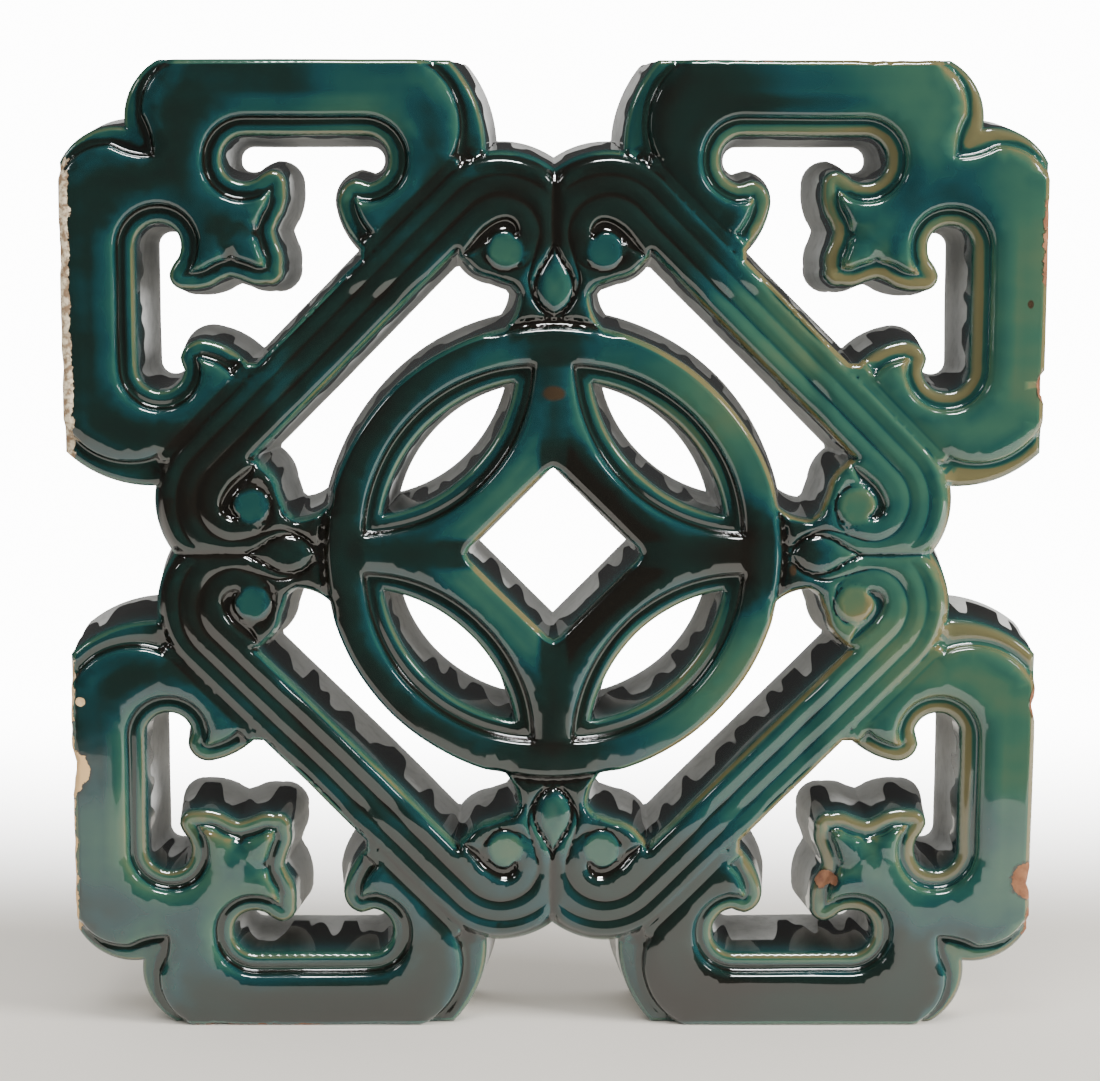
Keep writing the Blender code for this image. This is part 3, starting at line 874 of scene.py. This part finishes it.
def wall_shift(level):
    """How far a wall stands out at a height over the back, with the back's edge rounded."""
    round_share = max(0.0, 1 - level / BACK_ROUND)
    return WALL_DRAFT * (LEDGE - level) / LEDGE - BACK_ROUND * (1 - sqrt(1 - round_share ** 2))


def front_vertices(places):
    """Each place with its height and how hollow the front is around it, close by and further off."""
    around = [hollowness(places, reach, with_air) for reach, with_air in HOLLOWS.values()]
    return [(x, y, *rest) for (x, y), *rest in zip(places, front_height(places), *around)]


def eighth_mesh():
    """Vertices and triangles of the tile's first eighth."""
    loop = eighth_loop()
    places = front_places(loop)
    faces = triangles(places, len(loop))
    vertices = front_vertices(places)
    last_rows = {}
    for name, path in FREE_EDGES.items():
        rows = [front_vertices(np.array(path))]
        for level in WALL_LEVELS:
            bend = EDGE_BEND if level == 0.3 else 0.0
            rows.append([(x, y, level, bend, bend, bend) for x, y in wall_row(name, wall_shift(level))])
        last_rows[name] = [vertex[:2] for vertex in rows[-1]]
        for upper, lower in zip(rows, rows[1:]):
            start = len(vertices)
            count = len(path)
            vertices += upper + lower
            for i in range(count - 1):
                a, b, c, d = start + i, start + i + 1, start + count + i + 1, start + count + i
                quad = (a, b, c, d) if AIR_SIDE[name] > 0 else (d, c, b, a)
                faces += [quad[:3], (quad[0], quad[2], quad[3])]
    back_faces, back_places = back_mesh(last_rows)
    start = len(vertices)
    vertices += [(x, y, 0.0, 0.0, 0.0, 0.0) for x, y in back_places]
    faces += [tuple(start + i for i in face[::-1]) for face in back_faces]
    return np.array(vertices), faces


def back_mesh(rows):
    """The flat back between the walls' last rows."""
    loop = []
    for place in closed_loop(rows.values(), FILL_SPACING):
        if not loop or hypot(place[0] - loop[-1][0], place[1] - loop[-1][1]) > 1e-4:
            loop.append((float(place[0]), float(place[1])))
    scatter = Scatter(FILL_SPACING)
    scatter.add(loop, 0.0)
    scatter.add(hexagons((2.0, 28.0), (150.0, 150.0), BACK_SPACING), BACK_SPACING * 0.6)
    places = np.array(scatter.places)
    kept = inside(places, loop) & (distances(places, loop + loop[:1]) > 0.5)
    kept &= (places[:, 0] > 0.8) & (places[:, 1] - places[:, 0] > 1.0)
    kept[:len(loop)] = True
    places = places[kept]
    return triangles(places, len(loop)), places


# Geometry nodes that copy the first eighth, and the wear of the whole tile

def copying_tree():
    """Mirrors the first eighth, turns the pair round the middle, welds the copies and ruffles the skin."""
    make = Nodes(bpy.data.node_groups.new("eight fold", "GeometryNodeTree"))
    sockets = make.tree.interface
    sockets.new_socket("Tile", in_out="OUTPUT", socket_type="NodeSocketGeometry")
    sockets.new_socket("Eighth", in_out="INPUT", socket_type="NodeSocketGeometry")
    for name, value in COPYING.items():
        kind = "Int" if isinstance(value, int) else "Float"
        sockets.new_socket(name, in_out="INPUT", socket_type="NodeSocket" + kind)
    sockets.new_socket("Glaze", in_out="INPUT", socket_type="NodeSocketMaterial")
    given = make.all_of("NodeGroupInput")
    other = make.node("GeometryNodeTransform", {}, Geometry=given["Eighth"], Scale=(-1.0, 1.0, 1.0))
    other = make.node("GeometryNodeFlipFaces", {}, Mesh=other)
    pair = make.node("GeometryNodeJoinGeometry", {}, [given["Eighth"], other])
    turn = make.node("GeometryNodeInputIndex", {}) * (2 * pi) / given["Quarters"]
    turn = make.node("ShaderNodeCombineXYZ", {}, Y=turn)
    points = make.node("GeometryNodePoints", {}, Count=given["Quarters"], Position=(0.0, 0.0, 0.0))
    pairs = make.node("GeometryNodeInstanceOnPoints", {}, Points=points, Instance=pair, Rotation=turn)
    whole = make.node("GeometryNodeRealizeInstances", {}, Geometry=pairs)
    whole = make.node("GeometryNodeMergeByDistance", {}, Geometry=whole, Distance=given["Weld"])
    for wave in ("Wave", "Ripple"):
        size = 1.0 / given[wave + " Length"]
        wander = make.node(
            "ShaderNodeTexNoise", {"noise_dimensions": "4D"}, output="Color",
            W=given["Seed"], Scale=size, Detail=0.0,
        )
        wander = make.vector("SUBTRACT", wander, (0.5, 0.5, 0.5))
        wander = make.vector("SCALE", wander, Scale=given[wave + " Height"])
        whole = make.node("GeometryNodeSetPosition", {}, Geometry=whole, Offset=wander)
    whole = make.node("GeometryNodeSetShadeSmooth", {}, Geometry=whole)
    whole = make.node("GeometryNodeSetMaterial", {}, Geometry=whole, Material=given["Glaze"])
    make.node("NodeGroupOutput", {}, whole)
    return make.tree


def put(name, data):
    """A new object in the scene."""
    item = bpy.data.objects.new(name, data)
    bpy.context.scene.collection.objects.link(item)
    return item


def whole_tile(material):
    """The first eighth run through the geometry nodes, as a plain mesh about the tile's middle."""
    vertices, faces = eighth_mesh()
    x, y, height, *around = vertices.T
    mesh = bpy.data.meshes.new("first eighth")
    places = np.stack([x, DEPTH / 2 - height, y], axis=1) * MM
    mesh.from_pydata(places.tolist(), [], [list(face) for face in faces])
    mesh.update()
    for name, values in zip(HOLLOWS, around):
        layer = mesh.attributes.new(name, "FLOAT", "POINT")
        layer.data.foreach_set("value", values.astype(np.float32))
    eighth = put("first_eighth", mesh)
    modifier = eighth.modifiers.new("eight fold", "NODES")
    modifier.node_group = tree = copying_tree()
    values = {**COPYING, "Glaze": material}
    for item in tree.interface.items_tree:
        if item.in_out == "INPUT" and item.name in values:
            modifier[item.identifier] = values[item.name]
    graph = bpy.context.evaluated_depsgraph_get()
    whole = bpy.data.meshes.new_from_object(eighth.evaluated_get(graph))
    eighth.modifiers.clear()
    bpy.data.objects.remove(eighth)
    whole.materials.clear()
    whole.materials.append(material)
    return whole


def grain(places, scale):
    """Rough noise at each place."""
    return np.array([noise.noise(Vector(place) * scale) for place in places])


def worn(points):
    """The points with chips and worn strips taken off the edges."""
    moved = points.copy()
    for centre, reach, depth in CHIPS:
        gap = (points - np.array(centre)) / np.array(reach)
        near = np.where(np.abs(gap).max(axis=1) < 1.6)[0]
        rough = grain(points[near], CHIP_GRAIN)
        share = smooth(1.7 * (1 - np.sqrt((gap[near] ** 2).sum(axis=1))) + rough * 0.9)
        inward = -np.sign(points[near, :2]) * (np.abs(points[near, :2]) > HALF - 9)
        moved[near, :2] += inward * (share * depth * (1 + rough))[:, None]
    for axis, side, low, high, width in BARE_STRIPS:
        along = points[:, 1 - axis]
        beside = points[:, axis] * side > HALF - width - 2
        near = np.where(beside & (along > low) & (along < high))[0]
        rough = grain(points[near], STRIP_GRAIN) + 0.6 * grain(points[near], STRIP_FINE_GRAIN)
        ends = smooth((along[near] - low) / 4) * smooth((high - along[near]) / 4)
        share = smooth(0.5 + (points[near, axis] * side - HALF + width + rough * 2.2) / 1.4) * ends
        moved[near, axis] -= side * share * np.maximum(rough, 0.0) * 0.6
    return moved


def tile(material):
    mesh = whole_tile(material)
    flat_points = np.empty(len(mesh.vertices) * 3, dtype=np.float32)
    mesh.vertices.foreach_get("co", flat_points)
    across, back, up = flat_points.reshape(-1, 3).T.astype(float) / MM
    points = worn(np.stack([across, up, DEPTH / 2 - back], axis=1))
    points[:, :2] = np.clip(points[:, :2], -HALF, HALF)
    points[:, 2] = np.clip(points[:, 2], 0.0, DEPTH)
    world = np.stack([points[:, 0], DEPTH / 2 - points[:, 2], points[:, 1] + HALF], axis=1) * MM
    mesh.vertices.foreach_set("co", world.astype(np.float32).ravel())
    mesh.update()
    return put("glazed_tile", mesh)


# Materials

def operation(kind, swapped=False):
    """A method that adds a Math node."""
    def apply(self, *others):
        values = (*others, self) if swapped else (self, *others)
        return self.maker.node("ShaderNodeMath", {"operation": kind}, *values)
    return apply


class Sum:
    """A socket that Python arithmetic can use: each operation adds a Math node."""

    def __init__(self, maker, socket):
        self.maker = maker
        self.socket = socket

    __add__ = __radd__ = operation("ADD")
    __sub__ = operation("SUBTRACT")
    __rsub__ = operation("SUBTRACT", swapped=True)
    __mul__ = __rmul__ = operation("MULTIPLY")
    __truediv__ = operation("DIVIDE")
    __rtruediv__ = operation("DIVIDE", swapped=True)
    power = operation("POWER")
    most = operation("MAXIMUM")
    least = operation("MINIMUM")
    size = operation("ABSOLUTE")

    def between(self, low, high):
        return self.maker.node("ShaderNodeClamp", {}, self, low, high)

    def ramp(self, low, high):
        """0 below low, 1 above high and an S between."""
        smoothly = {"interpolation_type": "SMOOTHSTEP"}
        return self.maker.node("ShaderNodeMapRange", smoothly, self, low, high, 0.0, 1.0)


def hypotenuse(first, second):
    return (first.power(2.0) + second.power(2.0)).power(0.5)


class Nodes:
    """Adds nodes to one tree."""

    def __init__(self, tree):
        self.tree = tree

    def node(self, kind, settings, *values, output=0, **named):
        made = self.tree.nodes.new(kind)
        for key, value in settings.items():
            if key == "stops":
                self.set_stops(made.color_ramp.elements, value)
            else:
                setattr(made, key, value)
        for key, value in list(enumerate(values)) + list(named.items()):
            self.join(value, made.inputs[key])
        return Sum(self, made.outputs[output]) if made.outputs else None

    def set_stops(self, band, stops):
        while len(band) < len(stops):
            band.new(0.5)
        for element, (position, colour) in zip(band, stops):
            element.position = position
            element.color = (*colour, 1.0)

    def join(self, value, socket):
        """Sets a socket, or links it to a Sum or to each of a list of them. None leaves it alone."""
        if isinstance(value, list):
            for part in value:
                self.join(part, socket)
        elif isinstance(value, Sum):
            self.tree.links.new(value.socket, socket)
        elif value is not None:
            socket.default_value = value

    def all_of(self, kind, *values):
        """Every named output of a new node."""
        made = self.node(kind, {}, *values).socket.node
        return {socket.name: Sum(self, socket) for socket in made.outputs if socket.name}

    def vector(self, operation, *values, output=0, **named):
        return self.node("ShaderNodeVectorMath", {"operation": operation}, *values, output=output, **named)

    def parts(self, vector):
        """A vector's three numbers."""
        return list(self.all_of("ShaderNodeSeparateXYZ", vector).values())


class Maker(Nodes):
    """Builds one material's nodes."""

    def __init__(self, name):
        self.material = bpy.data.materials.new(name)
        self.material.use_nodes = True
        super().__init__(self.material.node_tree)
        self.shader = self.tree.nodes["Principled BSDF"]
        self.place = self.node("ShaderNodeTexCoord", {}, output="Object")

    def noise(self, scale, detail, rough, place=None):
        sockets = {"Vector": place or self.place, "Scale": scale, "Detail": detail, "Roughness": rough}
        return self.node("ShaderNodeTexNoise", {}, **sockets)

    def noise_on(self, stretch, *values):
        """Noise with its axes stretched."""
        return self.noise(*values, place=self.vector("MULTIPLY", self.place, stretch))

    def ramp(self, value, stops):
        """A colour from a value, through (position, colour) stops."""
        return self.node("ShaderNodeValToRGB", {"stops": stops}, value)

    def mix(self, share, first, second):
        """A colour between two, by a share."""
        colours = [value if isinstance(value, Sum) else (*value, 1.0) for value in (first, second)]
        return self.node("ShaderNodeMix", {"data_type": "RGBA"}, share, *[None] * 5, *colours, output=2)

    def finish(self, **values):
        for name, value in values.items():
            self.join(value, self.shader.inputs[name.replace("_", " ")])
        return self.material


def bareness(make, place):
    """Over a half where chips and worn strips leave the clay bare."""
    across, back, level = place
    rough = make.noise(330.0, 4.0, 0.6) - 0.5
    ragged = rough * STRIP_RAGGED
    in_front = 1 - (back + ragged).ramp(*STRIP_DEPTH)
    shares = []
    for (x, z, forward), (reach_x, reach_z, reach_y), _ in CHIPS:
        middle = (x * MM, (DEPTH / 2 - forward) * MM, (z + HALF) * MM)
        size = (1 / (reach_x * MM), 1 / (reach_y * MM), 1 / (reach_z * MM))
        gap = make.vector("MULTIPLY", make.vector("SUBTRACT", make.place, middle), size)
        length = make.vector("LENGTH", gap, output="Value")
        shares.append((1 - length) * CHIP_EDGE + 0.5 + rough * 1.2)
    for axis, side, low, high, width in BARE_STRIPS:
        outward, along = ((across, level), (level, across))[axis]
        start = (along - low * MM + ragged).ramp(0.0, STRIP_END)
        end = (high * MM - along + ragged).ramp(0.0, STRIP_END)
        past_edge = (outward * side - (HALF - width) * MM) / STRIP_EDGE
        shares.append((past_edge + 0.5 + rough * 3.0) * (start * end) * in_front)
    most = shares[0]
    for share in shares[1:]:
        most = most.most(share)
    return most


def thickness_and_painted_light(make, place, rightward, clouds, streaks):
    """How thick the glaze lies: thin over edges and towards the right, thick in hollows. Painted light and
    shade are added too, on slopes facing right and left and on the central diamond's frame.
    """
    across, back, level = place
    height = level + HALF * MM
    hollows = [make.node("ShaderNodeAttribute", {"attribute_name": name}, output="Fac") for name in HOLLOWS]
    close, wide, broad = hollows
    brushed = make.noise_on((0.35, 1.0, 1.6), 22.0, 3.0, 0.55)
    thick_and_painted_light = MEAN_THICKNESS - across.ramp(0.015, 0.115) * TO_THE_RIGHT - across * 0.25
    thick_and_painted_light = thick_and_painted_light + (1 - height.ramp(0.0, 0.075)) * AT_THE_FOOT
    thick_and_painted_light = thick_and_painted_light + (clouds - 0.5) * BY_CLOUDS + (brushed - 0.5) * BY_CLOUDS + (streaks - 0.5) * BY_STREAKS
    for x, z, reach, amount in CLOUDS:
        gap = hypotenuse(across - x * MM, height - z * MM) / (reach * MM)
        thick_and_painted_light = thick_and_painted_light + (1 - (gap + (clouds - 0.5) * 1.1).ramp(0.2, 1.2)) * amount
    pooled = (wide * 0.5 + close * 0.9).ramp(0.0, 0.8)
    thin = ((0 - close) * 0.75 - wide * 0.10 + (streaks - 0.5) * 0.2).ramp(0.06, 0.95)
    from_middle = hypotenuse(across, level)
    past_ring = from_middle.ramp(0.070, 0.073)
    swell = broad * (0.11 - across.ramp(-0.02, 0.06) * (0.06 + past_ring * 0.14))
    thick_and_painted_light = thick_and_painted_light + pooled * IN_HOLLOWS - thin * OVER_EDGES + swell.between(-0.14, 0.12)
    # Painted light and shade: slopes facing right are painted lighter and slopes facing left darker, as the
    # lamp on the right would light them
    thick_and_painted_light = thick_and_painted_light - rightward.between(-0.5, 0.6) * RIGHT_FACING_PAINTED_LIGHT
    on_ledge = (back + 0.0182).ramp(0.0, 0.0014)
    thick_and_painted_light = thick_and_painted_light - on_ledge * (ON_LEDGES - wide.ramp(0.3, 1.2) * 0.20)
    on_ring = from_middle.ramp(0.057, 0.070) * (1 - past_ring)
    thick_and_painted_light = thick_and_painted_light - on_ring * across.ramp(-0.02, 0.05) * ON_RING
    low, high = across.size().least(level.size()), across.size().most(level.size())
    from_ball = hypotenuse(low - BALL[0] * MM, high - BALL[1] * MM) / (BALL[2] * MM)
    thick_and_painted_light = thick_and_painted_light - (1 - from_ball.ramp(0.6, 1.1)) * ON_BALLS
    # Painted light and shade on the central diamond's sloping frame: its left sides, which face right, are
    # painted lighter and its right sides darker
    near_diamond = 1 - (across.size() + level.size()).ramp(0.028, 0.047)
    return thick_and_painted_light + near_diamond * low.ramp(0.003, 0.006) * across.between(-0.004, 0.004) * 110.0


def glaze():
    make = Maker("deep green glaze")
    rightward, _, upward = make.parts(make.node("ShaderNodeNewGeometry", {}, output="Normal"))
    upward = upward.ramp(0.2, 0.8)
    across, back, height = make.parts(make.place)
    level = height - HALF * MM
    place = (across, back, level)
    clouds = make.noise(13.0, 4.0, 0.55)
    streaks = make.noise(70.0, 3.0, 0.55)
    # The glaze's thickness, with painted light and shade added on slopes facing right and left and on the
    # diamond's frame
    thick_and_painted_light = thickness_and_painted_light(make, place, rightward, clouds, streaks)

    # The glaze runs down the walls, from the front to the back, and leaves the body dull below
    drop = (back + 0.016) / 0.036
    on_wall = drop.ramp(-0.02, 0.03)
    tongues = make.noise_on((1.0, 0.16, 1.0), 150.0, 0.0, 0.5).ramp(0.36, 0.68)
    runs = 0.10 + clouds * 0.10 + upward * 0.16 + tongues * (0.16 + upward * 0.34)
    below = (drop - runs).ramp(0.0, 0.05) * on_wall
    run_colour = make.ramp(0.46 + (clouds - 0.5) * 0.5 + drop * 1.1, GLAZE_BY_THICKNESS)
    colour = make.mix(on_wall, make.ramp(thick_and_painted_light.most(0.05), GLAZE_BY_THICKNESS), run_colour)
    dull = make.mix(clouds.ramp(0.3, 0.7), *DULL_BODY)
    dull = make.mix(make.noise(260.0, 4.0, 0.6).ramp(0.42, 0.75), dull, DULL_SPECKS)
    colour = make.mix(below, colour, dull)

    # Bare clay, dark round its rim, and brown marks
    clay = make.mix(make.noise(160.0, 5.0, 0.7).ramp(0.35, 0.7), *RED_CLAY)
    sand = make.mix(make.noise(520.0, 3.0, 0.6).ramp(0.38, 0.62), *SANDY_CLAY)
    sand = make.mix(level.ramp(-0.06, -0.02), BUFF_CLAY, sand)
    clay = make.mix((0 - across - 0.12).ramp(0.0, 0.01), clay, sand)
    bare = bareness(make, place)
    unglazed = bare.ramp(0.5, 0.56)
    colour = make.mix(bare.ramp(0.2, 0.5) * 0.7, colour, CLAY_RIM)
    for x, z, reach_x, reach_z in BROWN_SPOTS:
        gap = hypotenuse((across - x * MM) / (reach_x * MM), (height - z * MM) / (reach_z * MM))
        spot = (1 - (gap + (streaks - 0.5) * 1.2).ramp(0.7, 1.2)) * (1 - on_wall)
        colour = make.mix(spot, colour, SPOT_COLOUR)
    colour = make.mix(unglazed, colour, clay)

    matt = unglazed.most(below)
    ripple = make.noise(70.0, 2.0, 0.5) * 0.5 + make.noise(260.0, 2.0, 0.5) * 0.06
    grit = make.noise(900.0, 2.0, 0.5) * (matt * 0.6 + 0.01)
    bump = make.node("ShaderNodeBump", {}, Strength=0.4, Distance=0.0006, Height=ripple + grit)
    return make.finish(
        Base_Color=colour,
        Roughness=matt * MATT_ROUGHNESS + GLAZE_ROUGHNESS,
        Coat_Weight=1 - matt,
        Coat_Roughness=0.02,
        Normal=bump,
        IOR=1.5,
    )


def pale_floor():
    """Plain and pale, and fading out towards the back."""
    make = Maker("pale floor")
    shade = tuple(value * FLOOR_SHADE for value in FLOOR_COLOUR)
    colour = make.mix(make.noise(3.0, 2.0, 0.5), shade, FLOOR_COLOUR)
    fading = make.parts(make.place)[1].ramp(*FLOOR_FADE)
    return make.finish(Base_Color=colour, Roughness=0.6, Alpha=1 - fading)


# Floor, light and camera

def floor():
    mesh = bpy.data.meshes.new("floor")
    mesh.from_pydata([(x, y, 0) for x, y in FLOOR_CORNERS], [], [tuple(range(len(FLOOR_CORNERS)))])
    mesh.materials.append(pale_floor())
    put("floor", mesh)


def softbox(name, place, target, size, power, glossy):
    """A light that either shows in the glaze as a highlight or only lights everything softly."""
    light = bpy.data.lights.new(name, "AREA")
    light.shape = "RECTANGLE"
    light.size, light.size_y = size
    light.energy = power
    item = put(name, light)
    item.location = place
    item.rotation_euler = (Vector(target) - Vector(place)).to_track_quat("-Z", "Y").to_euler()
    item.visible_glossy = glossy
    item.visible_diffuse = not glossy


def studio():
    floor()
    softbox("overhead", (0.05, -0.45, 1.25), (0.0, -0.05, 0.1), (0.45, 0.14), 20.0, True)
    softbox("window", (1.2, -0.7, 0.9), (0.0, 0.0, 0.15), (0.12, 0.3), 4.0, True)
    softbox("left", (-1.2, -0.6, 0.9), (0.0, 0.0, 0.15), (0.1, 0.3), 2.0, True)
    softbox("right", (1.5, -0.55, 0.50), (0.0, 0.0, 0.15), (0.6, 0.9), 62.0, False)
    softbox("above", (-0.2, -0.7, 1.3), (0.0, 0.0, 0.1), (0.8, 0.8), 9.0, False)
    world = bpy.data.worlds.new("studio")
    world.use_nodes = True
    make = Nodes(world.node_tree)
    rays = make.all_of("ShaderNodeLightPath")
    strength = 0.06 + rays["Is Camera Ray"] * 14.0 + rays["Is Diffuse Ray"] * 0.95
    background = make.tree.nodes["Background"]
    make.join(strength, background.inputs["Strength"])
    make.join(BACKGROUND, background.inputs["Color"])
    bpy.context.scene.world = world


def camera():
    data = bpy.data.cameras.new("camera")
    data.sensor_fit = "HORIZONTAL"
    data.sensor_width = 36.0
    data.lens = CAMERA_LENS
    data.shift_x, data.shift_y = CAMERA_SHIFT
    item = put("camera", data)
    item.location = CAMERA_PLACE
    item.rotation_euler = CAMERA_TURN
    bpy.context.scene.camera = item


piece = tile(glaze())
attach(piece, "root")
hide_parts("screen_tile")
studio()
camera()
